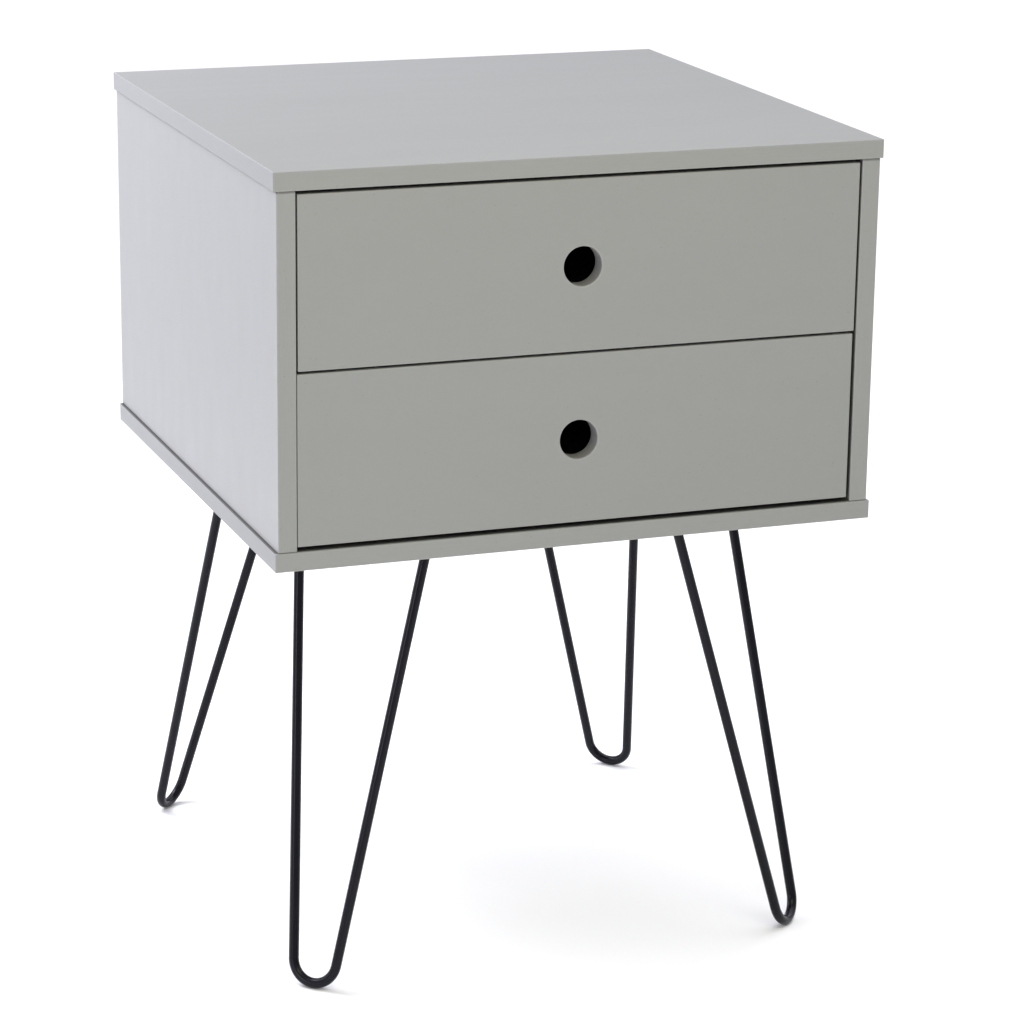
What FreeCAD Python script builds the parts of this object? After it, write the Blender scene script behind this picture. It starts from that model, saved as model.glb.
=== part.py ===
import FreeCAD, Part
import math
import os

# Bedside cabinet: a box with two inset drawers, standing on four hairpin legs.
# Millimetres. +Z is up, +X is to the right seen from the front, and the front faces -Y.
# The origin lies on the floor, under the middle of the cabinet.

# Cabinet box
overall_width = 400.0
overall_depth = 390.0
overall_height = 540.0
leg_height = 292.0              # floor to the underside of the bottom panel
board = 12.0                    # thickness of every board
arris = 0.6                     # rounding of every board edge
panel_overhang = 2.0            # top and bottom panels stand out beyond the side panels
side_setback = 0.5              # side panels' front edges behind the front of the top panel
back_thickness = 3.0
back_inset = 8.0                # rear face of the back panel to the cabinet's rear edge
groove_depth = 5.0
groove_play = 0.2               # groove wider than the thin panel that it holds

# Drawer fronts
front_height = 108.5
front_setback = 1.0             # drawer fronts behind the front of the top panel
front_gap_top = 2.3
front_gap_middle = 1.7
front_side_gap = 1.35
front_shift = {"upper": -0.15, "lower": -0.85}      # how far each front hangs off the middle
finger_hole_radius = 12.5
finger_hole_offset_x = -1.5     # hole centre from the middle of its front
finger_hole_offset_z = -0.6
finger_hole_rounding = 0.8

# Drawer boxes
runner_space = 12.5             # between a drawer side and the cabinet side
drawer_side_height = 84.0
drawer_side_length = 350.0
drawer_box_raise = 12.0         # bottom of the box above the bottom edge of the front
drawer_base_raise = 8.0         # underside of the base above the bottom of the box
drawer_base_thickness = 3.0
drawer_travel = 250.0

# Roller runners
runner_length = 350.0
runner_front_offset = 2.0       # cabinet runner's front end behind the drawer front
web_thickness = 1.2
flange_thickness = 0.9
rail_thickness = 1.0
rail_front_offset = 0.5         # rail's front end behind the drawer front
roller_radius = 8.0
roller_width = 7.0
roller_play = 0.3               # between a roller and the steel that it runs on
rivet_radius = 2.0
rivet_head_radius = 3.5
rivet_head_height = 1.0
bore_play = 0.05                # radial, roller on rivet
roller_hub_wall = 1.6
roller_rim_wall = 1.5
roller_dish = 0.8               # depth of the dish between hub and rim
roller_edge = 0.5               # chamfer at the running face
channel_centre_raise = 3.0      # channel centre above the bottom of the drawer box
channel_lip_gap = 0.5           # channel flange tips to the rail
front_roller_raise = 1.6        # front roller's centre above the channel centre
front_roller_inset = 10.0       # front roller's centre behind the channel's front end
stop_drop = 2.0                 # how far the pull-out stop hangs below the top flange
stop_length = 3.0

# Hairpin legs
rod_radius = 3.3
bend_radius = 15.5              # centre line of the bend at the foot
prong_spread = 93.5             # between prong centres at the underside
leg_inset = 83.6                # leg's middle to both edges of the bottom panel
leg_splay = 14.1                # degrees, outwards along the corner's diagonal
plate_length = 118.0
plate_width = 50.0
plate_thickness = 2.5
plate_corner_radius = 9.0
plate_screw_spread = 94.0
plate_screw_gauge = 32.0
# The back left leg is screwed on further back and leans out a little more than the others.
back_left_shift = (1.3, 14.5)
back_left_turn = 0.8            # degrees
back_left_extra_splay = 1.5     # degrees

# Knock-down fittings
dowel_radius = 3.0
dowel_length = 25.0
dowel_grip = 8.0                # length in the panel or front that the board's end meets
dowel_chamfer = 0.8
cam_radius = 6.0
cam_height = 9.8
cam_slot_width = 1.3
cam_slot_length = 7.5
cam_slot_depth = 1.6
bolt_radius = 2.5
bolt_grip = 9.0
bolt_head_radius = 3.0
bolt_head_length = 5.0
bolt_bore_radius = 3.2
case_cam_distance = 34.0        # cam centre to the end of a side panel
drawer_cam_distance = 24.0      # cam centre to the end of a drawer side
case_cam_places = (-128.0, 118.0)
case_dowel_places = (-160.0, 150.0)
drawer_cam_level = 42.0         # above the bottom of the drawer box
drawer_dowel_levels = (22.0, 62.0)

# Screws
leg_screw = {"shank": 2.0, "head": 4.0, "head_height": 2.0, "length": 13.0}
runner_screw = {"shank": 1.75, "head": 3.0, "head_height": 1.2, "length": 10.0}
rail_screw = {"shank": 1.75, "head": 3.4, "head_height": 1.0, "length": 11.0}
back_screw = {"shank": 1.75, "head": 3.5, "head_height": 1.8, "length": 35.0}
base_screw = {"shank": 1.5, "head": 3.0, "head_height": 1.5, "length": 12.0}
screw_tip = 2.5
recess_width = 0.9
recess_reach_share = 0.6        # of the head's radius
recess_depth_share = 0.75       # of the head's height
runner_screw_places = (-140.0, -10.0, 130.0)
rail_screw_places = (-155.0, -10.0, 135.0)
rail_screw_inset = 4.5          # from the drawer side's outer face
back_screw_levels = (30.0, 64.0)
base_screw_places = (-110.0, 0.0, 110.0)

# Sizes that follow from the ones above
case_front = -overall_depth / 2
case_back = overall_depth / 2
bottom_top = leg_height + board
top_underside = overall_height - board
side_outer = overall_width / 2 - panel_overhang
side_inner = side_outer - board
side_front = case_front + side_setback
back_rear = case_back - back_inset
back_front = back_rear - back_thickness
front_face = case_front + front_setback
front_rear = front_face + board
front_width = 2 * (side_inner - front_side_gap)
front_low = {"upper": top_underside - front_gap_top - front_height}
front_low["lower"] = front_low["upper"] - front_gap_middle - front_height
drawer_outer = side_inner - runner_space
drawer_inner = drawer_outer - board
drawer_rear = front_rear + drawer_side_length
box_low = {level: low + drawer_box_raise for level, low in front_low.items()}
channel_centre = {level: low + channel_centre_raise for level, low in box_low.items()}
channel_half = roller_radius + roller_play
channel_front = front_rear + runner_front_offset
channel_rear = channel_front + runner_length
channel_lip = drawer_outer + rail_thickness + channel_lip_gap
front_roller_y = channel_front + front_roller_inset
rear_roller_y = channel_rear - web_thickness - roller_play - roller_radius
rail_top = front_roller_raise + roller_radius + roller_play
plate_underside = leg_height - plate_thickness
half_diagonal = math.sqrt(0.5)

X = FreeCAD.Vector(1, 0, 0)
Y = FreeCAD.Vector(0, 1, 0)
Z = FreeCAD.Vector(0, 0, 1)


def point(x, y, z):
    return FreeCAD.Vector(x, y, z)


def block(x_low, x_high, y_low, y_high, z_low, z_high):
    return Part.makeBox(x_high - x_low, y_high - y_low, z_high - z_low, point(x_low, y_low, z_low))


def rounded_board(x_low, x_high, y_low, y_high, z_low, z_high):
    solid = block(x_low, x_high, y_low, y_high, z_low, z_high)
    return solid.makeFillet(arris, solid.Edges)


def cylinder(radius, start, direction, length):
    return Part.makeCylinder(radius, length, start, direction)


def mirrored(shape):
    """The same piece on the cabinet's other side."""
    return shape.mirror(point(0, 0, 0), X)


def both_sides(shapes):
    return shapes + [mirrored(shape) for shape in shapes]


def group(solids):
    return Part.makeCompound(solids)


def turned(points, axis_start, axis):
    """A solid of revolution about axis, from (radius, distance along axis) points."""
    across = X if abs(axis.dot(X)) < half_diagonal else Y
    outline = [axis_start + across * radius + axis * along for radius, along in points]
    face = Part.Face(Part.makePolygon(outline + outline[:1]))
    return face.revolve(axis_start, axis, 360)


def screw_body(size, start, direction):
    """A countersunk screw without its recess: start is the middle of the head's flat face."""
    outline = [
        (0, 0),
        (size["head"], 0),
        (size["shank"], size["head_height"]),
        (size["shank"], size["length"] - screw_tip),
        (0, size["length"]),
    ]
    return turned(outline, start, direction)


def cross_recess(start, direction, reach, width, depth):
    """Two crossed slots sunk from start along direction."""
    first = Part.makeBox(2 * reach, width, depth, point(-reach, -width / 2, 0))
    second = Part.makeBox(width, 2 * reach, depth, point(-width / 2, -reach, 0))
    recess = first.fuse(second)
    recess.Placement = FreeCAD.Placement(start, FreeCAD.Rotation(Z, direction))
    return recess


def screw(size, start, direction):
    reach = size["head"] * recess_reach_share
    depth = size["head_height"] * recess_depth_share
    recess = cross_recess(start, direction, reach, recess_width, depth)
    return screw_body(size, start, direction).cut(recess)


def dowel(start, direction):
    pin = cylinder(dowel_radius, start, direction, dowel_length)
    rims = [edge for edge in pin.Edges if edge.Closed]
    return pin.makeChamfer(dowel_chamfer, rims)


class CamJoint:
    """A cam lock in a board's face, with its bolt running out of the board's end.

    face_point is on the board's face, inward points into the board, and towards points from
    the cam to the board's end, which is distance away.
    """

    def __init__(self, face_point, inward, towards, distance):
        middle = face_point + inward * (board / 2)
        head_start = middle - towards * (bolt_head_length / 2)
        housing = cylinder(cam_radius, face_point, inward, cam_height)
        passage = cylinder(bolt_bore_radius, head_start, towards, distance + bolt_head_length / 2)
        slots = cross_recess(face_point, inward, cam_slot_length / 2, cam_slot_width, cam_slot_depth)
        head = cylinder(bolt_head_radius, head_start, towards, bolt_head_length)
        shank = cylinder(bolt_radius, middle, towards, distance + bolt_grip)
        self.lock = housing.cut(passage).cut(slots)
        self.bolt = head.fuse(shank).removeSplitter()
        self.pocket = housing.fuse(passage)


# Places of the fittings, all for the right-hand side; the left-hand side is their mirror image.

def case_joints():
    """Cam joints at both ends of the right side panel."""
    joints = []
    for y in case_cam_places:
        low_cam = point(side_inner, y, bottom_top + case_cam_distance)
        high_cam = point(side_inner, y, top_underside - case_cam_distance)
        joints.append(CamJoint(low_cam, X, -Z, case_cam_distance))
        joints.append(CamJoint(high_cam, X, Z, case_cam_distance))
    return joints


def case_dowel_solids():
    middle = side_inner + board / 2
    dowels = []
    for y in case_dowel_places:
        dowels.append(dowel(point(middle, y, bottom_top - dowel_grip), Z))
        dowels.append(dowel(point(middle, y, top_underside + dowel_grip), -Z))
    return dowels


def runner_screw_points(level):
    return [point(side_inner - web_thickness, y, channel_centre[level]) for y in runner_screw_places]


def runner_screw_bodies():
    starts = runner_screw_points("upper") + runner_screw_points("lower")
    return [screw_body(runner_screw, start, X) for start in starts]


# Legs

class Leg:
    """Directions and points of the leg at one corner of the bottom panel."""

    def __init__(self, side, end, shift=(0.0, 0.0), turn=0.0, extra_splay=0.0):
        middle_x = side * (overall_width / 2 - leg_inset) + shift[0]
        middle_y = end * (overall_depth / 2 - leg_inset) + shift[1]
        yaw = FreeCAD.Rotation(Z, turn)
        splay = math.radians(leg_splay + extra_splay)
        self.middle = point(middle_x, middle_y, leg_height)
        self.outward = yaw.multVec(point(side * half_diagonal, end * half_diagonal, 0))
        self.across = yaw.multVec(point(side * half_diagonal, -end * half_diagonal, 0))
        self.down = self.outward * math.sin(splay) - Z * math.cos(splay)
        self.length = (leg_height - rod_radius) / math.cos(splay)

    def screw_points(self):
        along = plate_screw_spread / 2
        out = plate_screw_gauge / 2
        base = self.middle - Z * plate_thickness
        places = [(a, o) for a in (-along, along) for o in (-out, out)]
        return [base + self.across * a + self.outward * o for a, o in places]


def leg_rod(leg):
    """One bent rod: two straight prongs joined by a round bend that stands on the floor.

    Each prong is drawn on past the underside and then cut flat where it meets the plate.
    """
    half_spread = prong_spread / 2
    bend_drop = leg.length - bend_radius
    reach = math.hypot(half_spread, bend_drop)
    lean = math.acos(bend_radius / reach) - math.atan2(bend_drop, half_spread)
    centre = leg.middle + leg.down * bend_drop
    foot = centre + leg.down * bend_radius
    ends = []
    tangents = []
    for sign in (1, -1):
        prong = leg.down * math.cos(lean) - leg.across * (sign * math.sin(lean))
        normal = leg.across * (sign * math.cos(lean)) + leg.down * math.sin(lean)
        ends.append(leg.middle + leg.across * (sign * half_spread) - prong * board)
        tangents.append(centre + normal * bend_radius)
    first = Part.LineSegment(ends[0], tangents[0]).toShape()
    bend = Part.Arc(tangents[0], foot, tangents[1]).toShape()
    last = Part.LineSegment(tangents[1], ends[1]).toShape()
    section = Part.Wire(Part.makeCircle(rod_radius, ends[0], tangents[0] - ends[0]))
    rod = Part.Wire([first, bend, last]).makePipeShell([section], True, False)
    above_plate = block(-overall_width, overall_width, -overall_width, overall_width,
                        plate_underside, overall_height)
    return rod.cut(above_plate)


def leg_plate(leg):
    plate = block(-plate_length / 2, plate_length / 2, -plate_width / 2, plate_width / 2,
                  -plate_thickness, 0)
    corners = [edge for edge in plate.Edges if abs(edge.tangentAt(0).z) > half_diagonal]
    plate = plate.makeFillet(plate_corner_radius, corners)
    plate.Placement = FreeCAD.Placement(leg.middle, FreeCAD.Rotation(X, leg.across))
    return plate.cut([screw_body(leg_screw, start, Z) for start in leg.screw_points()])


legs = {
    "front_left": Leg(-1, -1),
    "front_right": Leg(1, -1),
    "back_left": Leg(-1, 1, back_left_shift, back_left_turn, back_left_extra_splay),
    "back_right": Leg(1, 1),
}
all_leg_screw_points = [start for leg in legs.values() for start in leg.screw_points()]


# Cabinet panels

def back_groove():
    """The frame-shaped groove that the back panel stands in."""
    return block(-side_inner - groove_depth, side_inner + groove_depth,
                 back_front - groove_play / 2, back_rear + groove_play / 2,
                 bottom_top - groove_depth, top_underside + groove_depth)


def horizontal_panel(z_low, fittings):
    panel = rounded_board(-overall_width / 2, overall_width / 2, case_front, case_back,
                          z_low, z_low + board)
    return panel.cut([back_groove()] + both_sides(fittings))


def top_panel():
    fittings = [joint.bolt for joint in case_joints()] + case_dowel_solids()
    return horizontal_panel(top_underside, fittings)


def bottom_panel():
    fittings = [joint.bolt for joint in case_joints()] + case_dowel_solids()
    panel = horizontal_panel(leg_height, fittings)
    return panel.cut([screw_body(leg_screw, start, Z) for start in all_leg_screw_points])


def right_side_panel():
    panel = rounded_board(side_inner, side_outer, side_front, case_back, bottom_top, top_underside)
    pockets = [joint.pocket for joint in case_joints()]
    return panel.cut([back_groove()] + pockets + case_dowel_solids() + runner_screw_bodies())


def back_panel():
    inset = groove_depth - groove_play
    return block(-side_inner - inset, side_inner + inset, back_front, back_rear,
                 bottom_top - inset, top_underside + inset)


# Runners: a channel on the cabinet side with a roller at its front, and a rail under the
# drawer side with a roller at its rear that runs inside the channel.

def right_cabinet_runner(level):
    centre = channel_centre[level]
    flange_outer = channel_half + flange_thickness
    web = block(side_inner - web_thickness, side_inner, channel_front, channel_rear,
                centre - flange_outer, centre + flange_outer)
    lower = block(channel_lip, side_inner, channel_front, channel_rear,
                  centre - flange_outer, centre - channel_half)
    upper = block(channel_lip, side_inner, front_roller_y + roller_radius + web_thickness,
                  channel_rear, centre + channel_half, centre + flange_outer)
    end_stop = block(channel_lip, side_inner, channel_rear - web_thickness, channel_rear,
                     centre - flange_outer, centre + flange_outer)
    stop_height = channel_half - stop_drop
    stop_rear = (rear_roller_y - drawer_travel - roller_play
                 - math.sqrt(roller_radius ** 2 - stop_height ** 2))
    pull_stop = block(channel_lip, side_inner, stop_rear - stop_length, stop_rear,
                      centre + stop_height, centre + channel_half)
    runner = web.fuse([lower, upper, end_stop, pull_stop]).removeSplitter()
    holes = [screw_body(runner_screw, start, X) for start in runner_screw_points(level)]
    return runner.cut(holes + [front_roller_rivet(level)])


def front_roller_start(level):
    return point(side_inner, front_roller_y, channel_centre[level] + front_roller_raise)


def rear_roller_start(level):
    return point(drawer_outer, rear_roller_y, channel_centre[level])


def roller_rivet(start, direction, length):
    head = cylinder(rivet_head_radius, start + direction * (length - rivet_head_height), direction,
                    rivet_head_height)
    pin = cylinder(rivet_radius, start, direction, length)
    return pin.fuse(head).removeSplitter()


rivet_length = rail_thickness + channel_lip_gap + roller_width + 2 * roller_play + rivet_head_height


def front_roller_rivet(level):
    return roller_rivet(front_roller_start(level), -X, rivet_length)


def rear_roller_rivet(level):
    return roller_rivet(rear_roller_start(level), X, rivet_length)


def roller(start, direction):
    """A nylon roller on its rivet, with a shallow dish in each face."""
    inner = start + direction * (rivet_length - rivet_head_height - roller_play - roller_width)
    bore = rivet_radius + bore_play
    hub = bore + roller_hub_wall
    rim = roller_radius - roller_rim_wall
    inner_half = [
        (bore, 0), (hub, 0), (hub, roller_dish), (rim, roller_dish), (rim, 0),
        (roller_radius - roller_edge, 0), (roller_radius, roller_edge),
    ]
    outer_half = [(radius, roller_width - along) for radius, along in reversed(inner_half)]
    outline = inner_half + outer_half
    return turned(outline, inner, direction)


def rail_screw_points(level):
    x = drawer_outer - rail_screw_inset
    return [point(x, y, box_low[level] - rail_thickness) for y in rail_screw_places]


def right_rail(level):
    """A folded rail: a lip under the drawer side, a wall beside it and a track above the channel."""
    low = box_low[level]
    track = channel_centre[level] + rail_top
    front = front_rear + rail_front_offset
    rear = front + runner_length
    lip = block(drawer_inner, drawer_outer + rail_thickness, front, rear, low - rail_thickness, low)
    wall = block(drawer_outer, drawer_outer + rail_thickness, front, rear,
                 low - rail_thickness, track + rail_thickness)
    flange = block(drawer_outer, side_inner - web_thickness - channel_lip_gap, front, rear,
                   track, track + rail_thickness)
    rail = wall.fuse([lip, flange]).removeSplitter()
    holes = [screw_body(rail_screw, start, Z) for start in rail_screw_points(level)]
    return rail.cut(holes + [rear_roller_rivet(level)])


# Drawers

def drawer_joints(level):
    """Cam joint between the front and the right drawer side."""
    cam = point(drawer_outer, front_rear + drawer_cam_distance, box_low[level] + drawer_cam_level)
    return [CamJoint(cam, -X, -Y, drawer_cam_distance)]


def drawer_dowel_solids(level):
    middle = drawer_outer - board / 2
    starts = [point(middle, front_rear - dowel_grip, box_low[level] + up) for up in drawer_dowel_levels]
    return [dowel(start, Y) for start in starts]


def base_groove(level):
    low = box_low[level] + drawer_base_raise
    return block(-drawer_inner - groove_depth, drawer_inner + groove_depth,
                 front_rear - groove_depth, drawer_rear + board,
                 low - groove_play / 2, low + drawer_base_thickness + groove_play / 2)


def back_screw_bodies(level):
    return [screw_body(back_screw, start, -X) for start in back_screw_points(level)]


def back_screw_points(level):
    y = drawer_rear - board / 2
    return [point(drawer_outer, y, box_low[level] + up) for up in back_screw_levels]


def base_screw_points(level):
    low = box_low[level] + drawer_base_raise
    return [point(x, drawer_rear - board / 2, low) for x in base_screw_places]


def drawer_front(level):
    middle = front_shift[level]
    low = front_low[level]
    front = rounded_board(middle - front_width / 2, middle + front_width / 2,
                          front_face, front_rear, low, low + front_height)
    hole_x = middle + finger_hole_offset_x
    hole_z = low + front_height / 2 + finger_hole_offset_z
    front = front.cut(cylinder(finger_hole_radius, point(hole_x, front_face, hole_z), Y, board))
    rims = [edge for edge in front.Edges if edge.Closed and edge.Length > 2 * finger_hole_radius]
    front = front.makeFillet(finger_hole_rounding, rims)
    bolts = [joint.bolt for joint in drawer_joints(level)]
    return front.cut([base_groove(level)] + both_sides(bolts + drawer_dowel_solids(level)))


def right_drawer_side(level):
    low = box_low[level]
    side = rounded_board(drawer_inner, drawer_outer, front_rear, drawer_rear,
                         low, low + drawer_side_height)
    pockets = [joint.pocket for joint in drawer_joints(level)]
    rail_screws = [screw_body(rail_screw, start, Z) for start in rail_screw_points(level)]
    return side.cut([base_groove(level)] + pockets + drawer_dowel_solids(level)
                    + back_screw_bodies(level) + rail_screws)


def drawer_back(level):
    low = box_low[level] + drawer_base_raise + drawer_base_thickness
    back = rounded_board(-drawer_inner, drawer_inner, drawer_rear - board, drawer_rear,
                         low, box_low[level] + drawer_side_height)
    base_screws = [screw_body(base_screw, start, Z) for start in base_screw_points(level)]
    return back.cut(both_sides(back_screw_bodies(level)) + base_screws)


def drawer_base(level):
    inset = groove_depth - groove_play
    low = box_low[level] + drawer_base_raise
    base = block(-drawer_inner - inset, drawer_inner + inset, front_rear - inset, drawer_rear,
                 low, low + drawer_base_thickness)
    return base.cut([screw_body(base_screw, start, Z) for start in base_screw_points(level)])


# The nodes

def cabinet_nodes():
    joints = case_joints()
    side_panel = right_side_panel()
    runner_starts = runner_screw_points("upper") + runner_screw_points("lower")
    rivets = [front_roller_rivet(level) for level in box_low]
    return {
        "top_panel": top_panel(),
        "bottom_panel": bottom_panel(),
        "right_side_panel": side_panel,
        "left_side_panel": mirrored(side_panel),
        "back_panel": back_panel(),
        "case_dowels": group(both_sides(case_dowel_solids())),
        "case_cam_locks": group(both_sides([joint.lock for joint in joints])),
        "case_cam_bolts": group(both_sides([joint.bolt for joint in joints])),
        "runner_screws": group(both_sides([screw(runner_screw, start, X) for start in runner_starts])),
        "front_roller_rivets": group(both_sides(rivets)),
        "leg_screws": group([screw(leg_screw, start, Z) for start in all_leg_screw_points]),
    }


def leg_nodes():
    nodes = {}
    for name, leg in legs.items():
        nodes[name + "_leg_rod"] = leg_rod(leg)
        nodes[name + "_leg_plate"] = leg_plate(leg)
    return nodes


def runner_nodes(level):
    runner = right_cabinet_runner(level)
    front_roller = roller(front_roller_start(level), -X)
    return {
        level + "_right_cabinet_runner": runner,
        level + "_left_cabinet_runner": mirrored(runner),
        level + "_right_front_roller": front_roller,
        level + "_left_front_roller": mirrored(front_roller),
    }


def drawer_nodes(level):
    joints = drawer_joints(level)
    side = right_drawer_side(level)
    rail = right_rail(level)
    rear_roller = roller(rear_roller_start(level), X)
    rail_screws = [screw(rail_screw, start, Z) for start in rail_screw_points(level)]
    back_screws = [screw(back_screw, start, -X) for start in back_screw_points(level)]
    base_screws = [screw(base_screw, start, Z) for start in base_screw_points(level)]
    nodes = {
        "front": drawer_front(level),
        "right_side": side,
        "left_side": mirrored(side),
        "back": drawer_back(level),
        "base": drawer_base(level),
        "right_rail": rail,
        "left_rail": mirrored(rail),
        "right_rear_roller": rear_roller,
        "left_rear_roller": mirrored(rear_roller),
        "roller_rivets": group(both_sides([rear_roller_rivet(level)])),
        "dowels": group(both_sides(drawer_dowel_solids(level))),
        "cam_locks": group(both_sides([joint.lock for joint in joints])),
        "cam_bolts": group(both_sides([joint.bolt for joint in joints])),
        "rail_screws": group(both_sides(rail_screws)),
        "back_screws": group(both_sides(back_screws)),
        "base_screws": group(base_screws),
    }
    return {level + "_drawer_" + name: shape for name, shape in nodes.items()}


nodes = cabinet_nodes() | leg_nodes()
for level in box_low:
    nodes |= runner_nodes(level) | drawer_nodes(level)

os.makedirs("parts", exist_ok=True)
for name, shape in nodes.items():
    shape.exportStep("parts/" + name + ".step")
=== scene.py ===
import math

import bmesh
import bpy
from mathutils import Matrix, Quaternion, Vector


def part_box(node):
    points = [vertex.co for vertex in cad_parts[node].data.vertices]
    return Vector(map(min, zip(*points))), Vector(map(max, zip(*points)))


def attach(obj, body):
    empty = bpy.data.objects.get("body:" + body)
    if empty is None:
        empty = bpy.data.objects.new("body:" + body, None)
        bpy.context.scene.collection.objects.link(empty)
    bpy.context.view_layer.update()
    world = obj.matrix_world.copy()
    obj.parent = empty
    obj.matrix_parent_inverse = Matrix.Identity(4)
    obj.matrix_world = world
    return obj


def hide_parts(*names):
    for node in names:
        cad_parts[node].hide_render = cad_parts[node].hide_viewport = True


# A grey bedside cabinet with two drawers, on four black hairpin legs. Metres, Z up, front to -Y.

# Camera
CAMERA_AZIMUTH = math.radians(-20.347)
CAMERA_ELEVATION = math.radians(16.164)
CAMERA_ROLL = math.radians(0.734)
CAMERA_DISTANCE = 2.3914
CAMERA_TARGET = Vector((0.02566, 0.0, 0.25738))
CAMERA_LENS = 122.72            # millimetres, on a 36 mm sensor
CAMERA_SENSOR = 36.0
CAMERA_NEAR = 0.05
CAMERA_FAR = 100.0

# Lights. Each one's direction is the way to it: azimuth as for the camera, then elevation.
WORLD_COLOUR = (0.500, 0.500, 0.500)
BACKDROP_COLOUR = (1.0, 1.0, 1.0)      # the world as the camera sees it directly, past the floor's edge
SUNS = {
    "overhead_light": dict(
        azimuth=-150.0, elevation=74.0, angle=60.0,
        colour=(0.861, 0.861, 1.000), power=0.950),
    "left_light": dict(
        azimuth=-96.0, elevation=24.0, angle=60.0,
        colour=(0.861, 0.861, 1.000), power=0.216),
    "right_light": dict(
        azimuth=112.0, elevation=50.0, angle=70.0,
        colour=(0.861, 0.861, 1.000), power=1.620),
}
SOFTBOXES = {
    "left_softbox": dict(
        azimuth=-133.0, elevation=38.0, distance=1.3, size=0.7,
        colour=(0.861, 0.861, 1.000), power=16.012),
    "back_softbox": dict(
        azimuth=-125.0, elevation=8.0, distance=1.5, size=0.9,
        colour=(0.861, 0.861, 1.000), power=6.887),
    "low_softbox": dict(
        azimuth=-58.0, elevation=2.0, distance=1.6, size=0.5,
        colour=(0.861, 0.861, 1.000), power=3.024),
    "front_softbox": dict(
        azimuth=-4.0, elevation=38.0, distance=1.2, size=0.6,
        colour=(1.000, 1.000, 0.735), power=4.230),
}
SOFTBOX_AIM = Vector((0.0, 0.0, 0.40))
SUN_DISTANCE = 3.0              # where each sun lamp is put; it has no effect on the light
FLOOR_HALF = 18.0
FLOOR_SEGMENTS = 12
FLOOR_COLOUR = (0.96, 0.96, 0.94)
FLOOR_CLOUD = 0.985             # the darker clouds, as a share of that

# Hairpin legs
LEGS = {
    "front_left": dict(side=-1, end=-1, turn=0.0, extra_splay=0.0),
    "front_right": dict(side=1, end=-1, turn=0.0, extra_splay=0.0),
    "back_left": dict(side=-1, end=1, turn=0.8, extra_splay=1.5),
    "back_right": dict(side=1, end=1, turn=0.0, extra_splay=0.0),
}
LEG_SPLAY = 14.1                # degrees from upright
ROD_RADIUS = 0.0033
BEND_RADIUS = 0.0155
PRONG_SPREAD = 0.0935           # between the two prongs' axes, at the plate's upper side
SHARP_ANGLE = math.radians(40.0)        # a steeper edge is not smoothed
ROD_SIDES = 40
BEND_STEPS = 36
PRONG_STEPS = 24
WELD_WIDTH = 0.0024             # weld bead on the plate, out from the rod
WELD_HEIGHT = 0.0028            # weld bead along the rod, down from the plate
WELD_RIPPLES = 15
WELD_AROUND = 120
WELD_PROFILE = 14
WELD_ROOT = 0.0008              # how far the bead reaches inside the rod's surface
WELD_RIPPLE = (0.90, 0.12)      # the bead's size between ripples, and how much a ripple adds
WELD_SWELL = (0.00022, 0.00016)  # how far the bead's middle bulges, and how much a ripple adds
WELD_ROUNDNESS = 1.5
RIPPLE_LAG = 2.6                # how far the ripples trail behind at the bead's two edges

# Finger holes in the drawer fronts, and their place from the middle of each front
FINGER_HOLE_RADIUS = 0.0125
FINGER_HOLE_OFFSET = (-0.0015, -0.0006)

# Base colours, linear
PAINT = (0.265, 0.268, 0.254)
# Lighter paint on the arrises, partly wear and partly a painted highlight; also the cut edges' fibre
# streaks
WORN_AND_HIGHLIT_PAINT = (0.297, 0.298, 0.284)
PAINT_SPECK = (0.164, 0.161, 0.150)
INSIDE_SHADE_PAINT = (0.096, 0.094, 0.088)     # painted shade: the case's inner faces, darker so the gaps round the drawers look dark
PAINT_END = (0.247, 0.251, 0.239)      # the slabs' end edges, a little darker than their faces
SHADED_HOLE_WALL = (0.245, 0.240, 0.236)      # the finger holes' walls: a slightly darker colour as painted shade
# Painted shade and dust in the joints between the side panels and the slabs
JOINT_SHADE_AND_DIRT = (0.085, 0.082, 0.080)
HARDBOARD = (0.195, 0.118, 0.066)
HARDBOARD_FIBRE = (0.29, 0.19, 0.115)
HARDBOARD_FLECK = (0.11, 0.060, 0.032)
HARDBOARD_CLOUD = (0.30, 0.19, 0.115)
HARDBOARD_PAINT_FIBRE = (0.345, 0.35, 0.33)
HARDBOARD_PAINT_CLOUD = (0.385, 0.39, 0.37)
COAT_BLACK = (0.0040, 0.0040, 0.0068)
COAT_CLOUD = (0.0056, 0.0056, 0.0090)
COAT_SCUFF = (0.075, 0.073, 0.074)
RUNNER_WHITE = (0.74, 0.74, 0.72)
RUNNER_CLOUD = (0.69, 0.69, 0.66)
RUNNER_TRACK = (0.30, 0.30, 0.29)
RUNNER_SPECK = (0.35, 0.34, 0.32)
ZINC = (0.62, 0.62, 0.60)
ZINC_DULL = (0.42, 0.42, 0.43)
CAST_ZINC = (0.50, 0.50, 0.51)
CAST_ZINC_DARK = (0.33, 0.33, 0.345)
NYLON = (0.80, 0.79, 0.75)
NYLON_CLOUD = (0.74, 0.725, 0.68)
NYLON_GREY = (0.52, 0.51, 0.48)
BEECH = (0.56, 0.36, 0.20)
BEECH_DARK = (0.36, 0.20, 0.095)
BEECH_FLECK = (0.27, 0.14, 0.06)

# The case's inner faces, painted dark as shade: the axis and sign of each one's normal
CASE_INSIDES = {
    "top_panel": (2, -1.0),
    "bottom_panel": (2, 1.0),
    "left_side_panel": (0, 1.0),
    "right_side_panel": (0, -1.0),
}
INSIDE_START_Y = -0.1935        # just behind the case's front edges
INSIDE_FADE = 0.001
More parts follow.
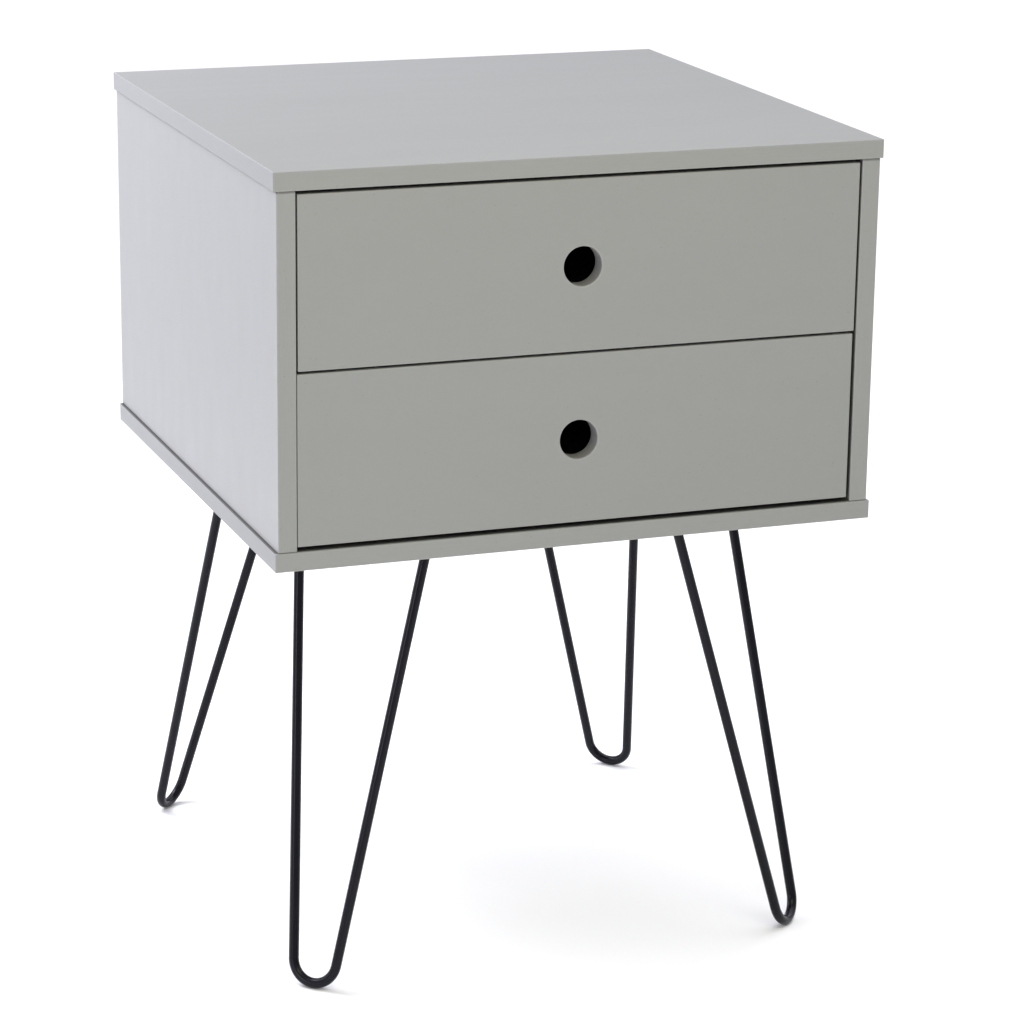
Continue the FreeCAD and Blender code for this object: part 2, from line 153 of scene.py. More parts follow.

# Marks in the paint, with painted highlights on the edges and painted shade on the hole walls and in the
# joints
LYING_SMUDGE = dict(scale=26.0, long=9.0)       # long: how far it is drawn out along the grain
UPRIGHT_SMUDGE = dict(scale=40.0, long=2.6)
TONE_STRENGTHS = (0.030, 0.045, 0.035, 0.020)   # cloud, smudge, mottle, peel
SPECKS_TO_METRE = 300.0
SPECK_RADIUS = 0.00046
# How much and how far in the arrises are lightened: wear and a painted highlight
EDGE_WEAR_AND_HIGHLIGHT = 0.55
EDGE_WEAR_AND_HIGHLIGHT_WIDTH = 0.0013
HOLE_RIM_WEAR_AND_HIGHLIGHT = (0.0006, 0.0015)     # the worn rim with a painted highlight, out from the hole's edge
SHADED_HOLE_WALL_EDGE = (0.0001, 0.0006)
LOWER_JOINT = (0.0003, 0.0009)  # painted shade and dirt in a side panel's joints, from the panel's ends
UPPER_JOINT = (0.0010, 0.0016)

# Other marks
SCREEN_PITCH = 0.0018           # the screen marks on hardboard
SCUFF_HEIGHT = 0.0011           # the worn patches on the rods' bends, up from the floor
SCUFF_FADE = 2.2                # where they end, as a multiple of that height
SCUFF_WANDER = 0.0016           # how much their border wanders up and down
COAT_SPECK_RADIUS = 0.00018
RUNNER_SPECK_RADIUS = 0.00022

# Relief: how deep each bump is
PAINT_PEEL_DEPTH = 0.000018
PAINT_SPECK_DEPTH = 0.00005
CUT_FIBRE_DEPTH = 0.00004
BARE_FIBRE_DEPTH = 0.00025
SCREEN_DEPTH = 0.00012
COAT_PEEL_DEPTH = 0.00004
COAT_GRIT_DEPTH = 0.000008
RUNNER_PEEL_DEPTH = 0.00003
TURNING_DEPTH = 0.000012
CAST_GRAIN_DEPTH = 0.00003
NYLON_GRAIN_DEPTH = 0.00002
BEECH_GRAIN_DEPTH = 0.00006
FLOOR_GRAIN_DEPTH = 0.00002


# Node trees

class Finish:
    """One material's node tree, with a short call for each kind of node that the finishes use."""

    def __init__(self, name):
        self.material = bpy.data.materials.new(name)
        self.material.use_nodes = True
        self.tree = self.material.node_tree
        self.shader = self.tree.nodes["Principled BSDF"]
        texture = self.tree.nodes.new("ShaderNodeTexCoord")
        self.place = texture.outputs["Object"]
        self.normal = texture.outputs["Normal"]

    def put(self, socket, value):
        if isinstance(value, bpy.types.NodeSocket):
            self.tree.links.new(value, socket)
        else:
            socket.default_value = value

    def maths(self, operation, *values):
        node = self.tree.nodes.new("ShaderNodeMath")
        node.operation = operation
        for socket, value in zip(node.inputs, values):
            self.put(socket, value)
        return node.outputs[0]

    def vector(self, operation, *values):
        node = self.tree.nodes.new("ShaderNodeVectorMath")
        node.operation = operation
        for socket, value in zip(node.inputs, values):
            self.put(socket, value)
        return node.outputs[0]

    def split(self, vector):
        node = self.tree.nodes.new("ShaderNodeSeparateXYZ")
        self.put(node.inputs[0], vector)
        return node.outputs[0], node.outputs[1], node.outputs[2]

    def noise(self, scale, detail=3.0, roughness=0.55, stretch=(1.0, 1.0, 1.0)):
        """Noise with `scale` features to the metre, divided along each axis by `stretch`."""
        factors = tuple(scale / s for s in stretch)
        place = self.vector("MULTIPLY", self.place, factors)
        node = self.tree.nodes.new("ShaderNodeTexNoise")
        self.put(node.inputs["Vector"], place)
        node.inputs["Scale"].default_value = 1.0
        node.inputs["Detail"].default_value = detail
        node.inputs["Roughness"].default_value = roughness
        return node.outputs[0]

    def specks(self, scale, radius):
        """1 inside scattered specks of uneven size, `radius` metres at most, 0 outside them."""
        place = self.vector("MULTIPLY", self.place, (scale, scale, scale))
        node = self.tree.nodes.new("ShaderNodeTexVoronoi")
        self.put(node.inputs["Vector"], place)
        node.inputs["Scale"].default_value = 1.0
        size = self.split(node.outputs["Color"])[0]
        reach = self.remap(size, 0.45, 1.0, 0.0, radius * scale)
        share = self.maths("DIVIDE", node.outputs["Distance"], self.maths("ADD", reach, 1e-5))
        return self.remap(share, 0.6, 1.0, 1.0, 0.0)

    def remap(self, value, low, high, new_low=0.0, new_high=1.0, smooth=False):
        node = self.tree.nodes.new("ShaderNodeMapRange")
        node.interpolation_type = "SMOOTHSTEP" if smooth else "LINEAR"
        for index, item in enumerate((value, low, high, new_low, new_high)):
            self.put(node.inputs[index], item)
        return node.outputs[0]

    def blend(self, share, first, second, mode="MIX"):
        node = self.tree.nodes.new("ShaderNodeMix")
        node.data_type = "RGBA"
        node.blend_type = mode
        colours = [c if isinstance(c, bpy.types.NodeSocket) else (*c, 1.0) for c in (first, second)]
        for socket, value in zip((node.inputs[0], node.inputs[6], node.inputs[7]), (share, *colours)):
            self.put(socket, value)
        return node.outputs[2]

    def bump(self, height, distance, under=None):
        node = self.tree.nodes.new("ShaderNodeBump")
        node.inputs["Strength"].default_value = 1.0
        node.inputs["Distance"].default_value = distance
        self.put(node.inputs["Height"], height)
        if under is not None:
            self.put(node.inputs["Normal"], under)
        return node.outputs[0]

    def finish(self, colour, roughness, normal, metallic=0.0, ior=1.46, specular=0.5):
        self.put(self.shader.inputs["Base Color"], colour)
        self.put(self.shader.inputs["Roughness"], roughness)
        self.put(self.shader.inputs["Normal"], normal)
        self.shader.inputs["Metallic"].default_value = metallic
        self.shader.inputs["IOR"].default_value = ior
        self.shader.inputs["Specular IOR Level"].default_value = specular
        return self.material


def along(axis, long, cross):
    """A stretch for noise: `long` along one axis and `cross` along the others."""
    return tuple(long if index == axis else cross for index in range(3))


def edge_nearness(f, low, high, width, wander):
    """1 on a box's edges, falling to 0 at `width` inside them, with an uneven border."""
    centre = (low + high) / 2
    half = (high - low) / 2
    off_centre = f.vector("ABSOLUTE", f.vector("SUBTRACT", f.place, tuple(centre)))
    inside = f.vector("SUBTRACT", tuple(half), off_centre)
    x, y, z = f.split(inside)
    middle = f.maths("MAXIMUM", f.maths("MINIMUM", x, y),
                     f.maths("MINIMUM", f.maths("MAXIMUM", x, y), z))
    border = f.maths("MULTIPLY_ADD", wander, width, width * 0.4)
    return f.remap(f.maths("DIVIDE", middle, border), 0.35, 1.0, 1.0, 0.0, smooth=True)


def board_tone(f, cloud, smudge, mottle, peel):
    """A grey that multiplies the paint's colour and wavers about 1."""
    shade = 1.0
    for noise, strength in zip((cloud, smudge, mottle, peel), TONE_STRENGTHS):
        shade = f.maths("MULTIPLY_ADD", f.maths("SUBTRACT", noise, 0.5), strength, shade)
    grey = f.tree.nodes.new("ShaderNodeCombineColor")
    for socket in grey.inputs:
        f.put(socket, shade)
    return grey.outputs[0]


def hole_distance(f, hole):
    """How far a place is from the axis of the finger hole."""
    x, _, z = f.split(f.vector("SUBTRACT", f.place, (hole[0], 0.0, hole[1])))
    return f.maths("SQRT", f.maths("ADD", f.maths("MULTIPLY", x, x), f.maths("MULTIPLY", z, z)))


def hole_rim_wear_and_highlight(f, distance, cut):
    """The lighter rim round a finger hole on a front's faces: rubbed wear, and a painted highlight."""
    near, far = (FINGER_HOLE_RADIUS + reach for reach in HOLE_RIM_WEAR_AND_HIGHLIGHT)
    rim = f.remap(distance, near, far, 1.6, 0.0, smooth=True)
    return f.maths("MULTIPLY", rim, f.maths("SUBTRACT", 1.0, cut))


def shaded_hole_wall(f, distance, colour):
    """Painted shade with turning lines on the finger hole's wall."""
    near, far = (FINGER_HOLE_RADIUS + reach for reach in SHADED_HOLE_WALL_EDGE)
    wall = f.remap(distance, near, far, 1.0, 0.0)
    lines = f.remap(f.noise(900.0, detail=3.0, stretch=(1.0, 12.0, 1.0)), 0.35, 0.65, 0.6, 1.0)
    return f.blend(f.maths("MULTIPLY", wall, lines), colour, SHADED_HOLE_WALL)


def joint_shade_and_dirt(f, low, high, wander, colour):
    """Dark lines where a side panel meets the bottom and the top: painted shade and dirt in the joints.
    """
    height = f.split(f.place)[2]
    below = f.remap(f.maths("SUBTRACT", height, low.z), *LOWER_JOINT, 1.0, 0.0)
    above = f.remap(f.maths("SUBTRACT", high.z, height), *UPPER_JOINT, 0.8, 0.0)
    shade_and_dirt = f.maths("MAXIMUM", below, above)
    return f.blend(f.maths("MULTIPLY", shade_and_dirt, f.remap(wander, 0.3, 0.7, 0.70, 0.95)), colour, JOINT_SHADE_AND_DIRT)


def shaded_inside(f, inside, colour):
    """Painted shade, dark, on the face that looks into the case."""
    axis, sign = inside
    inner = f.remap(f.maths("MULTIPLY", f.split(f.normal)[axis], sign), 0.5, 0.8)
    behind = f.remap(f.split(f.place)[1], INSIDE_START_Y, INSIDE_START_Y + INSIDE_FADE)
    return f.blend(f.maths("MULTIPLY", inner, behind), colour, INSIDE_SHADE_PAINT)


def painted_board(name, low, high, thin, grain, hole=None, joints=False, inside=None, ends=False):
    """Satin grey paint over fibreboard: flat on the faces, drier and finely lined on the cut edges.

    thin is the board's thin axis and grain its long one.
    """
    f = Finish(name)
    smudge_form = LYING_SMUDGE if thin == 2 else UPRIGHT_SMUDGE
    cloud = f.noise(5.5, detail=2.0)
    smudge = f.noise(smudge_form["scale"], detail=4.0, roughness=0.6,
                     stretch=along(grain, smudge_form["long"], 1.0))
    mottle = f.noise(240.0, detail=3.0, roughness=0.6)
    peel = f.noise(950.0, detail=2.0)
    fibre = f.noise(2600.0, detail=2.0, stretch=along(thin, 1.0, 60.0))
    speck = f.specks(SPECKS_TO_METRE, SPECK_RADIUS)
    wander = f.noise(90.0, detail=3.0)
    cut = f.remap(f.maths("ABSOLUTE", f.split(f.normal)[thin]), 0.35, 0.75, 1.0, 0.0)
    # Lighter arrises and finger hole rim: partly wear, partly a painted highlight
    edge = edge_nearness(f, low, high, EDGE_WEAR_AND_HIGHLIGHT_WIDTH, wander)
    if hole is not None:
        distance = hole_distance(f, hole)
        edge = f.maths("MAXIMUM", edge, hole_rim_wear_and_highlight(f, distance, cut))
    colour = f.blend(f.maths("MULTIPLY", edge, EDGE_WEAR_AND_HIGHLIGHT), PAINT, WORN_AND_HIGHLIT_PAINT)
    colour = f.blend(f.maths("MULTIPLY", cut, f.remap(fibre, 0.3, 0.7, 0.0, 0.30)), colour, WORN_AND_HIGHLIT_PAINT)
    if ends:
        end = f.remap(f.maths("ABSOLUTE", f.split(f.normal)[grain]), 0.5, 0.8)
        colour = f.blend(end, colour, PAINT_END)
    colour = f.blend(f.maths("MULTIPLY", speck, 0.55), colour, PAINT_SPECK)
    if hole is not None:
        # Painted shade on the finger hole's wall
        colour = shaded_hole_wall(f, distance, colour)
    if joints:
        # Painted shade and dirt along the joints with the slabs
        colour = joint_shade_and_dirt(f, low, high, wander, colour)
    if inside is not None:
        # Painted shade on the case's inner faces
        colour = shaded_inside(f, inside, colour)
    colour = f.blend(1.0, colour, board_tone(f, cloud, smudge, mottle, peel), mode="MULTIPLY")
    roughness = f.maths("ADD", f.remap(smudge, 0.3, 0.7, 0.40, 0.47), f.maths("MULTIPLY", cut, 0.12))
    roughness = f.maths("MULTIPLY_ADD", mottle, 0.04, roughness)
    normal = f.bump(peel, PAINT_PEEL_DEPTH)
    normal = f.bump(f.maths("MULTIPLY", fibre, cut), CUT_FIBRE_DEPTH, normal)
    normal = f.bump(speck, PAINT_SPECK_DEPTH, normal)
    return f.finish(colour, roughness, normal)


def hardboard(name, painted_axis, painted_sign):
    """Thin fibreboard: painted on its smooth face, brown and screen-marked everywhere else."""
    f = Finish(name)
    cloud = f.noise(7.0, detail=3.0)
    fibre = f.noise(420.0, detail=5.0, roughness=0.7)
    fleck = f.noise(1400.0, detail=3.0, roughness=0.7)
    peel = f.noise(900.0, detail=2.0)
    toward = f.maths("MULTIPLY", f.split(f.normal)[painted_axis], painted_sign)
    painted = f.remap(toward, 0.55, 0.75)
    parts = list(f.split(f.place))
    parts.pop(painted_axis)
    waves = [f.maths("SINE", f.maths("MULTIPLY", part, 2 * math.pi / SCREEN_PITCH)) for part in parts]
    screen = f.maths("MULTIPLY", f.maths("MULTIPLY", waves[0], waves[1]), 0.5)
    brown = f.blend(f.remap(fibre, 0.35, 0.68), HARDBOARD, HARDBOARD_FIBRE)
    brown = f.blend(f.remap(fleck, 0.60, 0.80, 0.0, 0.6), brown, HARDBOARD_FLECK)
    brown = f.blend(f.remap(cloud, 0.35, 0.65, 0.0, 0.25), brown, HARDBOARD_CLOUD)
    paint = f.blend(f.remap(fibre, 0.35, 0.65, 0.0, 0.30), PAINT, HARDBOARD_PAINT_FIBRE)
    paint = f.blend(f.remap(cloud, 0.35, 0.65, 0.0, 0.30), paint, HARDBOARD_PAINT_CLOUD)
    colour = f.blend(painted, brown, paint)
    bare_roughness = f.remap(fibre, 0.3, 0.7, 0.78, 0.92)
    painted_roughness = f.remap(fibre, 0.3, 0.7, 0.42, 0.52)
    roughness = f.remap(painted, 0.0, 1.0, bare_roughness, painted_roughness)
    rough_side = f.maths("SUBTRACT", 1.0, painted)
    normal = f.bump(f.maths("MULTIPLY", screen, rough_side), SCREEN_DEPTH)
    normal = f.bump(f.maths("MULTIPLY", fibre, rough_side), BARE_FIBRE_DEPTH, normal)
    normal = f.bump(peel, PAINT_PEEL_DEPTH, normal)
    return f.finish(colour, roughness, normal)


def black_coat(name, scuffed_below=None):
    """Satin black coating over steel, scuffed to grey where the bend stands on the floor."""
    f = Finish(name)
    cloud = f.noise(40.0, detail=3.0)
    peel = f.noise(1500.0, detail=2.0)
    grit = f.noise(5200.0, detail=2.0)
    speck = f.specks(380.0, COAT_SPECK_RADIUS)
    colour = f.blend(f.remap(cloud, 0.35, 0.65, 0.0, 0.8), COAT_BLACK, COAT_CLOUD)
    colour = f.blend(f.maths("MULTIPLY", speck, 0.5), colour, COAT_SCUFF)
    roughness = f.remap(cloud, 0.3, 0.7, 0.17, 0.23)
    if scuffed_below is not None:
        height = f.split(f.place)[2]
        wavering = f.maths("MULTIPLY_ADD", f.noise(700.0, detail=4.0), SCUFF_WANDER, height)
        worn = f.remap(wavering, scuffed_below, scuffed_below * SCUFF_FADE, 1.0, 0.0)
        colour = f.blend(f.maths("MULTIPLY", worn, 0.7), colour, COAT_SCUFF)
        roughness = f.maths("ADD", roughness, f.maths("MULTIPLY", worn, 0.25))
    normal = f.bump(peel, COAT_PEEL_DEPTH)
    normal = f.bump(grit, COAT_GRIT_DEPTH, normal)
    return f.finish(colour, roughness, normal, ior=1.5, specular=0.19)


def runner_coat(name):
    """White epoxy coating over sheet steel, greyed in the track that the rollers use."""
    f = Finish(name)
    cloud = f.noise(60.0, detail=3.0)
    peel = f.noise(1300.0, detail=2.0)
    track = f.noise(150.0, detail=4.0, roughness=0.65, stretch=(1.0, 14.0, 1.0))
    speck = f.specks(260.0, RUNNER_SPECK_RADIUS)
    colour = f.blend(f.remap(cloud, 0.35, 0.65), RUNNER_WHITE, RUNNER_CLOUD)
    level = f.maths("ABSOLUTE", f.split(f.normal)[2])
    rubbed = f.maths("MULTIPLY", f.remap(level, 0.7, 0.95), f.remap(track, 0.50, 0.72, 0.0, 0.55))
    colour = f.blend(rubbed, colour, RUNNER_TRACK)
    colour = f.blend(f.maths("MULTIPLY", speck, 0.4), colour, RUNNER_SPECK)
    roughness = f.remap(track, 0.3, 0.7, 0.30, 0.42)
    return f.finish(colour, roughness, f.bump(peel, RUNNER_PEEL_DEPTH))


def bright_zinc(name):
    """Zinc plate over turned steel, with a faint bloom and fine turning lines."""
    f = Finish(name)
    bloom = f.noise(600.0, detail=3.0)
    line = f.noise(5200.0, detail=2.0, stretch=(1.0, 1.0, 6.0))
    colour = f.blend(f.remap(bloom, 0.35, 0.70), ZINC, ZINC_DULL)
    roughness = f.remap(bloom, 0.3, 0.7, 0.24, 0.42)
    return f.finish(colour, roughness, f.bump(line, TURNING_DEPTH), metallic=1.0)


def cast_zinc(name):
    """Die-cast zinc, grey and faintly pitted."""
    f = Finish(name)
    bloom = f.noise(420.0, detail=4.0, roughness=0.65)
    grain = f.noise(3200.0, detail=3.0)
    colour = f.blend(f.remap(bloom, 0.35, 0.68), CAST_ZINC, CAST_ZINC_DARK)
    roughness = f.remap(grain, 0.3, 0.7, 0.38, 0.56)
    return f.finish(colour, roughness, f.bump(grain, CAST_GRAIN_DEPTH), metallic=1.0)


def nylon(name):
    """White moulded nylon, with grey rub marks on its running face."""
    f = Finish(name)
    cloud = f.noise(180.0, detail=3.0)
    rub = f.noise(900.0, detail=4.0, roughness=0.7, stretch=(1.0, 5.0, 5.0))
    grain = f.noise(2400.0, detail=2.0)
    colour = f.blend(f.remap(cloud, 0.35, 0.65, 0.0, 0.5), NYLON, NYLON_CLOUD)
    rim = f.remap(f.maths("ABSOLUTE", f.split(f.normal)[0]), 0.3, 0.6, 1.0, 0.0)
    colour = f.blend(f.maths("MULTIPLY", rim, f.remap(rub, 0.45, 0.70, 0.0, 0.6)), colour, NYLON_GREY)
    roughness = f.remap(grain, 0.3, 0.7, 0.34, 0.46)
    return f.finish(colour, roughness, f.bump(grain, NYLON_GRAIN_DEPTH), ior=1.53)


def beech(name):
    """Plain beech, with its grain and short dark flecks along X."""
    f = Finish(name)
    grain = f.noise(700.0, detail=4.0, roughness=0.6, stretch=(12.0, 1.0, 1.0))
    fleck = f.noise(1800.0, detail=2.0, stretch=(6.0, 1.0, 1.0))
    colour = f.blend(f.remap(grain, 0.35, 0.68), BEECH, BEECH_DARK)
    colour = f.blend(f.remap(fleck, 0.62, 0.72, 0.0, 0.6), colour, BEECH_FLECK)
    roughness = f.remap(grain, 0.3, 0.7, 0.55, 0.70)
    return f.finish(colour, roughness, f.bump(grain, BEECH_GRAIN_DEPTH))


def floor_paint(name):
    """Matt white floor with a barely visible unevenness."""
    f = Finish(name)
    cloud = f.noise(2.5, detail=3.0)
    grain = f.noise(500.0, detail=2.0)
    darker = tuple(c * FLOOR_CLOUD for c in FLOOR_COLOUR)
    colour = f.blend(f.remap(cloud, 0.3, 0.7), FLOOR_COLOUR, darker)
    roughness = f.remap(grain, 0.3, 0.7, 0.80, 0.88)
    return f.finish(colour, roughness, f.bump(grain, FLOOR_GRAIN_DEPTH))


# Meshes

def add_piece(name, mesh_data, material):
    """A new smooth-shaded object from a bmesh, with its sharp edges kept."""
    mesh = bpy.data.meshes.new(name)
    bmesh.ops.recalc_face_normals(mesh_data, faces=mesh_data.faces[:])
    for face in mesh_data.faces:
        face.smooth = True
    for edge in mesh_data.edges:
        edge.smooth = edge.calc_face_angle(0.0) < SHARP_ANGLE
    mesh_data.to_mesh(mesh)
    mesh_data.free()
    mesh.materials.append(material)
    piece = bpy.data.objects.new(name, mesh)
    bpy.context.scene.collection.objects.link(piece)
    return piece


def skin_rings(mesh_data, rings, closed=False):
    """Quads between rings of points. An open row of rings gets a flat cap at each end."""
    loops = [[mesh_data.verts.new(point) for point in ring] for ring in rings]
    pairs = list(zip(loops, loops[1:]))
    if closed:
        pairs.append((loops[-1], loops[0]))
    for first, second in pairs:
        for index in range(len(first)):
            follow = (index + 1) % len(first)
            mesh_data.faces.new((first[index], first[follow], second[follow], second[index]))
    if not closed:
        mesh_data.faces.new(loops[0])
        mesh_data.faces.new(loops[-1])


class Leg:
    """Where one hairpin leg's rod runs, from its plate's place and its own angles."""

    def __init__(self, name, side, end, turn, extra_splay):
        low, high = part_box(name + "_leg_plate")
        self.underside = low.z
        yaw = Quaternion((0, 0, 1), math.radians(turn))
        splay = math.radians(LEG_SPLAY + extra_splay)
        diagonal = math.sqrt(0.5)
        self.middle = Vector(((low.x + high.x) / 2, (low.y + high.y) / 2, high.z))
        outward = yaw @ Vector((side * diagonal, end * diagonal, 0))
        self.across = yaw @ Vector((side * diagonal, -end * diagonal, 0))
        self.down = outward * math.sin(splay) - Vector((0, 0, 1)) * math.cos(splay)
        length = (self.middle.z - ROD_RADIUS) / math.cos(splay)
        half_spread = PRONG_SPREAD / 2
        drop = length - BEND_RADIUS
        self.lean = math.acos(BEND_RADIUS / math.hypot(half_spread, drop)) - math.atan2(drop, half_spread)
        self.centre = self.middle + self.down * drop

    def normal(self, angle):
        """The way from the bend's centre at an angle: 0 points across, a quarter turn points down."""
        return self.across * math.cos(angle) + self.down * math.sin(angle)

    def tangent(self, angle):
        return self.down * math.cos(angle) - self.across * math.sin(angle)

    def prong_top(self, angle):
        """Where the prong that leaves the bend at this angle meets the plate's underside."""
        start = self.centre + self.normal(angle) * BEND_RADIUS
        run = self.tangent(angle)
        return start + run * ((self.underside - start.z) / run.z)

    def prong_angles(self):
        return self.lean, math.pi - self.lean


def ring_about(leg, centre, normal, radius):
    other = leg.across.cross(leg.down)
    turns = [2 * math.pi * index / ROD_SIDES for index in range(ROD_SIDES)]
    return [centre + (normal * math.cos(t) + other * math.sin(t)) * radius for t in turns]


def cut_level(ring, run, level):
    """A ring slid along the rod until every point of it is at one height."""
    return [point + run * ((level - point.z) / run.z) for point in ring]


def leg_rod(name, leg, material):
    """One smooth bent rod from plate to floor and back."""
    first, last = leg.prong_angles()
    rings = []
    for angle, toward_bend in ((first, True), (last, False)):
        top = leg.prong_top(angle)
        foot = leg.centre + leg.normal(angle) * BEND_RADIUS
        prong = []
        for step in range(PRONG_STEPS):
            point = top.lerp(foot, step / PRONG_STEPS)
            ring = ring_about(leg, point, leg.normal(angle), ROD_RADIUS)
            if step == 0:
                ring = cut_level(ring, leg.tangent(angle), leg.underside)
            prong.append(ring)
        if toward_bend:
            rings += prong
            for step in range(BEND_STEPS + 1):
                turn = first + (last - first) * step / BEND_STEPS
                centre = leg.centre + leg.normal(turn) * BEND_RADIUS
                rings.append(ring_about(leg, centre, leg.normal(turn), ROD_RADIUS))
        else:
            rings += reversed(prong)
    mesh_data = bmesh.new()
    skin_rings(mesh_data, rings)
    return add_piece(name, mesh_data, material)


def weld_ring(leg, angle, turn):
    """The bead's outline at one place round a prong: out over the plate, then back along the rod."""
    axis = -leg.tangent(angle)
    if axis.z < 0:
        axis = -axis
    normal = leg.normal(angle)
    other = leg.across.cross(leg.down)
    away = normal * math.cos(turn) + other * math.sin(turn)
    top = leg.prong_top(angle)
    points = []
    for index in range(WELD_PROFILE):
        share = index / (WELD_PROFILE - 1)
        lag = RIPPLE_LAG * (share - 0.5) ** 2 * math.pi
        ripple = 0.5 + 0.5 * math.sin(WELD_RIPPLES * turn + lag)
        size = WELD_RIPPLE[0] + WELD_RIPPLE[1] * ripple
        swell = math.sin(share * math.pi) * (WELD_SWELL[0] + WELD_SWELL[1] * ripple)
        across = math.cos(share * math.pi / 2) ** WELD_ROUNDNESS
        down = math.sin(share * math.pi / 2) ** WELD_ROUNDNESS
        out = WELD_WIDTH * size * across + swell
        drop = WELD_HEIGHT * size * down + swell
        point = top + away * (ROD_RADIUS + out)
        point -= axis * ((point.z - leg.underside) / axis.z)
        points.append(point - axis * (drop / axis.z))
    root = top + away * (ROD_RADIUS - WELD_ROOT)
    root -= axis * ((root.z - leg.underside) / axis.z)
    points.append(root - axis * (WELD_HEIGHT * WELD_RIPPLE[0] / axis.z))
    points.append(root)
    return points


def leg_weld(name, leg, angle, material):
    """The rippled weld bead that holds one prong to its plate."""
    turns = [2 * math.pi * index / WELD_AROUND for index in range(WELD_AROUND)]
    mesh_data = bmesh.new()
    skin_rings(mesh_data, [weld_ring(leg, angle, turn) for turn in turns], closed=True)
    return add_piece(name, mesh_data, material)


def make_legs():
    coat = black_coat("black_coat_rods", scuffed_below=SCUFF_HEIGHT)
    for key, data in LEGS.items():
        leg = Leg(key, **data)
        rod = leg_rod(key + "_leg_bent_rod", leg, coat)
        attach(rod, "case")
        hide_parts(key + "_leg_rod")
        for word, angle in zip(("outer", "inner"), leg.prong_angles()):
            weld = leg_weld(key + "_leg_weld_" + word, leg, angle, coat)
            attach(weld, "case")


# Finishes on the CAD nodes

def cover(node, material):
    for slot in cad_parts[node].material_slots:
        slot.material = material


def cover_boards():
    """Every painted board gets its own finish, because the edge wear and painted edge highlights follow
    the board's own box.
    """
    boards = {
        "top_panel": (2, 0), "bottom_panel": (2, 0),
        "left_side_panel": (0, 2), "right_side_panel": (0, 2),
    }
    for level in ("upper", "lower"):
        boards[level + "_drawer_front"] = (1, 0)
        boards[level + "_drawer_back"] = (1, 0)
        boards[level + "_drawer_left_side"] = (0, 1)
        boards[level + "_drawer_right_side"] = (0, 1)
    for node, (thin, grain) in boards.items():
        low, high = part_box(node)
        hole = None
        if node.endswith("_front"):
            middle = (low + high) / 2
            hole = (middle.x + FINGER_HOLE_OFFSET[0], middle.z + FINGER_HOLE_OFFSET[1])
        joints = node.endswith("_side_panel")
        inside = CASE_INSIDES.get(node)
        ends = node in ("top_panel", "bottom_panel")
        cover(node, painted_board("paint_" + node, low, high, thin, grain, hole, joints, inside, ends))


def cover_fittings():
    coats = {
        "powder_coat": black_coat("black_coat_plates"),
        "black_screw": black_coat("black_screws"),
        "runner_steel": runner_coat("white_runner_coat"),
        "zinc_steel": bright_zinc("bright_zinc"),
        "cam_zinc": cast_zinc("cast_zinc"),
        "nylon": nylon("white_nylon"),
        "dowel": beech("beech_dowels"),
    }
    bare = {
        "back_panel": hardboard("hardboard_back", 1, -1.0),
        "upper_drawer_base": hardboard("hardboard_upper_base", 2, 1.0),
        "lower_drawer_base": hardboard("hardboard_lower_base", 2, 1.0),
    }
    for node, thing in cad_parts.items():
        slot = thing.material_slots[0].material.name
        if node in bare:
            cover(node, bare[node])
        elif slot in coats:
            cover(node, coats[slot])


# Surroundings

def make_floor():
    mesh_data = bmesh.new()
    bmesh.ops.create_grid(
        mesh_data, x_segments=FLOOR_SEGMENTS, y_segments=FLOOR_SEGMENTS, size=FLOOR_HALF)
    add_piece("studio_floor", mesh_data, floor_paint("floor_paint"))


def make_world():
    """An even grey light from all round, with a white backdrop behind the object."""
    world = bpy.data.worlds.new("studio")
    bpy.context.scene.world = world
    world.use_nodes = True
    tree = world.node_tree
    light = tree.nodes["Background"]
    light.inputs["Color"].default_value = (*WORLD_COLOUR, 1.0)
    backdrop = tree.nodes.new("ShaderNodeBackground")
    backdrop.inputs["Color"].default_value = (*BACKDROP_COLOUR, 1.0)
    path = tree.nodes.new("ShaderNodeLightPath")
    either = tree.nodes.new("ShaderNodeMixShader")
    tree.links.new(path.outputs["Is Camera Ray"], either.inputs[0])
    tree.links.new(light.outputs[0], either.inputs[1])
    tree.links.new(backdrop.outputs[0], either.inputs[2])
    tree.links.new(either.outputs[0], tree.nodes["World Output"].inputs["Surface"])


def make_suns():
    for name, data in SUNS.items():
        lamp = bpy.data.lights.new(name, "SUN")
        lamp.energy = data["power"]
        lamp.color = data["colour"]
        lamp.angle = math.radians(data["angle"])
        sun = bpy.data.objects.new(name, lamp)
        bpy.context.scene.collection.objects.link(sun)
        sun.rotation_mode = "QUATERNION"
        toward = way_to(math.radians(data["azimuth"]), math.radians(data["elevation"]))
        sun.rotation_quaternion = toward.to_track_quat("Z", "Y")
        sun.location = toward * SUN_DISTANCE


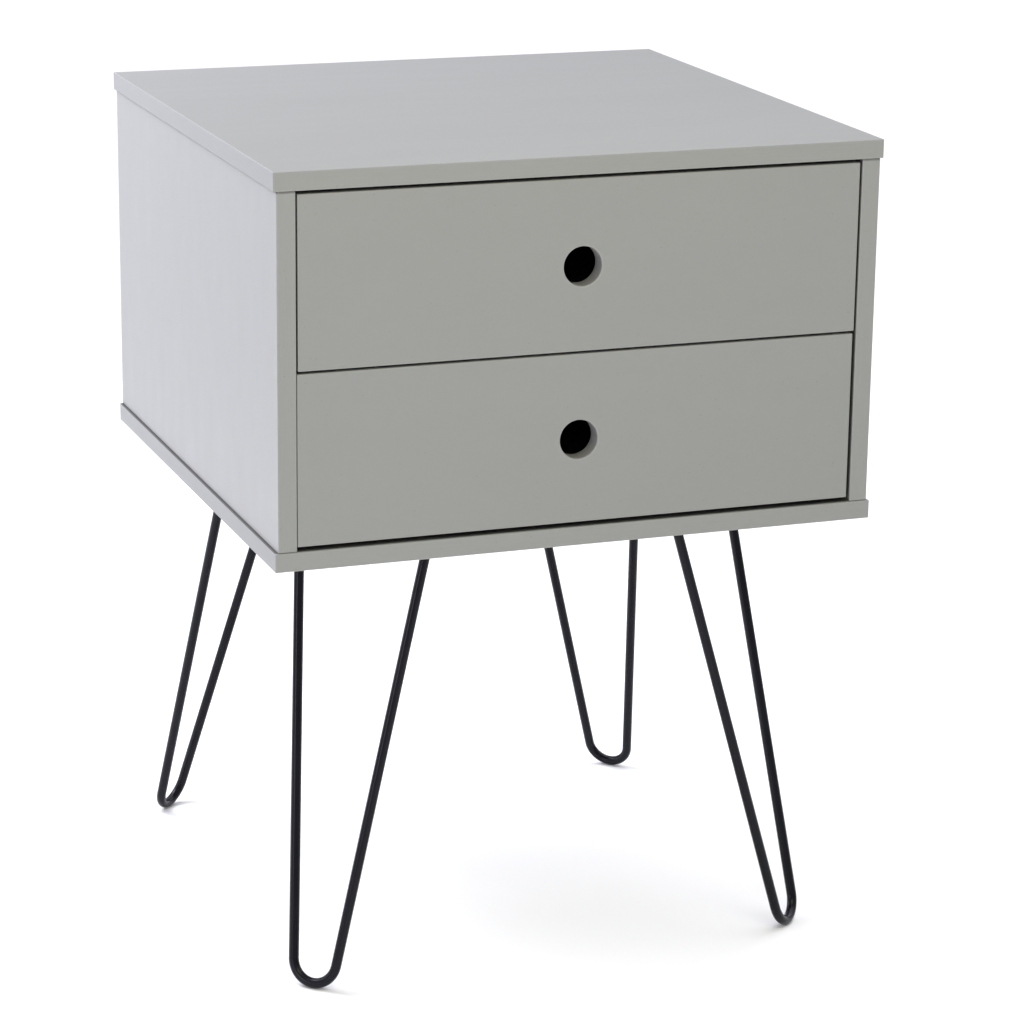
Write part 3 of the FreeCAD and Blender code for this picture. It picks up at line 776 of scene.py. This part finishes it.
def make_softboxes():
    for name, data in SOFTBOXES.items():
        lamp = bpy.data.lights.new(name, "AREA")
        lamp.shape = "SQUARE"
        lamp.size = data["size"]
        lamp.energy = data["power"]
        lamp.color = data["colour"]
        box = bpy.data.objects.new(name, lamp)
        bpy.context.scene.collection.objects.link(box)
        box.rotation_mode = "QUATERNION"
        toward = way_to(math.radians(data["azimuth"]), math.radians(data["elevation"]))
        box.rotation_quaternion = toward.to_track_quat("Z", "Y")
        box.location = SOFTBOX_AIM + toward * data["distance"]
        box.visible_camera = False


def way_to(azimuth, elevation):
    """The unit vector from the object towards an azimuth and elevation, where azimuth 0 is the front."""
    level = math.cos(elevation)
    return Vector((math.sin(azimuth) * level, -math.cos(azimuth) * level, math.sin(elevation)))


def make_camera():
    back = way_to(CAMERA_AZIMUTH, CAMERA_ELEVATION)
    right = (-back).cross(Vector((0, 0, 1))).normalized()
    up = right.cross(-back)
    rolled_right = right * math.cos(CAMERA_ROLL) + up * math.sin(CAMERA_ROLL)
    rolled_up = up * math.cos(CAMERA_ROLL) - right * math.sin(CAMERA_ROLL)
    data = bpy.data.cameras.new("camera")
    data.lens = CAMERA_LENS
    data.sensor_width = CAMERA_SENSOR
    data.clip_start = CAMERA_NEAR
    data.clip_end = CAMERA_FAR
    camera = bpy.data.objects.new("camera", data)
    bpy.context.scene.collection.objects.link(camera)
    camera.rotation_mode = "QUATERNION"
    turned = Matrix((rolled_right, rolled_up, back)).transposed()
    camera.rotation_quaternion = turned.to_quaternion()
    camera.location = CAMERA_TARGET + back * CAMERA_DISTANCE
    bpy.context.scene.camera = camera


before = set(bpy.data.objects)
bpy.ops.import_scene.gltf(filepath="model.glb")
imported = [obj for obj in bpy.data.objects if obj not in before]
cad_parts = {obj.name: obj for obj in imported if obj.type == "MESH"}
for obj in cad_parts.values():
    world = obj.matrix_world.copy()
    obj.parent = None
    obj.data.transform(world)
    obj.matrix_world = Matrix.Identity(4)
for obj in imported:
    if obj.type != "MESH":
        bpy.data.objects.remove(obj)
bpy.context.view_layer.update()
make_camera()
make_world()
make_suns()
make_softboxes()
make_floor()
cover_boards()
cover_fittings()
make_legs()
bpy.context.scene.view_settings.view_transform = "Standard"
